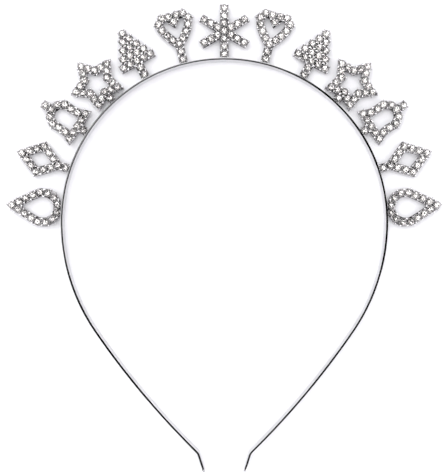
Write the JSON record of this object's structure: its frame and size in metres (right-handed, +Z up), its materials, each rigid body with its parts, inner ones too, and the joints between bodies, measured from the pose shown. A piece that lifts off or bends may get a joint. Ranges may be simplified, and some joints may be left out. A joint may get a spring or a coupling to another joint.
{
  "type": "rhinestone tiara",
  "caption": "Springy metal headband with openwork cast ornaments, each set with a row of round clear stones, standing outwards along its crown.",
  "frame": {"origin": "under the middle of the tiara's box, on the surface that it lies on", "axes": "+Y runs from the open ends of the strip to the crown, +X from one ear to the other, and +Z up, the way the stones face"},
  "size_m": [0.1654, 0.1764, 0.005],
  "materials": {
    "strip": "bright nickel plate on spring steel, lightly scuffed",
    "setting": "bright plated casting",
    "stone": "clear cut glass with a mirror foil back"
  },
  "bodies": {
    "root": {"headband": "strip", "snowflake": "setting", "heart_left": "setting", "heart_right": "setting", "fir_left": "setting", "fir_right": "setting", "star_left": "setting", "star_right": "setting", "bell_left": "setting", "bell_right": "setting", "lozenge_left": "setting", "lozenge_right": "setting", "drop_left": "setting", "drop_right": "setting"}
  },
  "joints": []
}
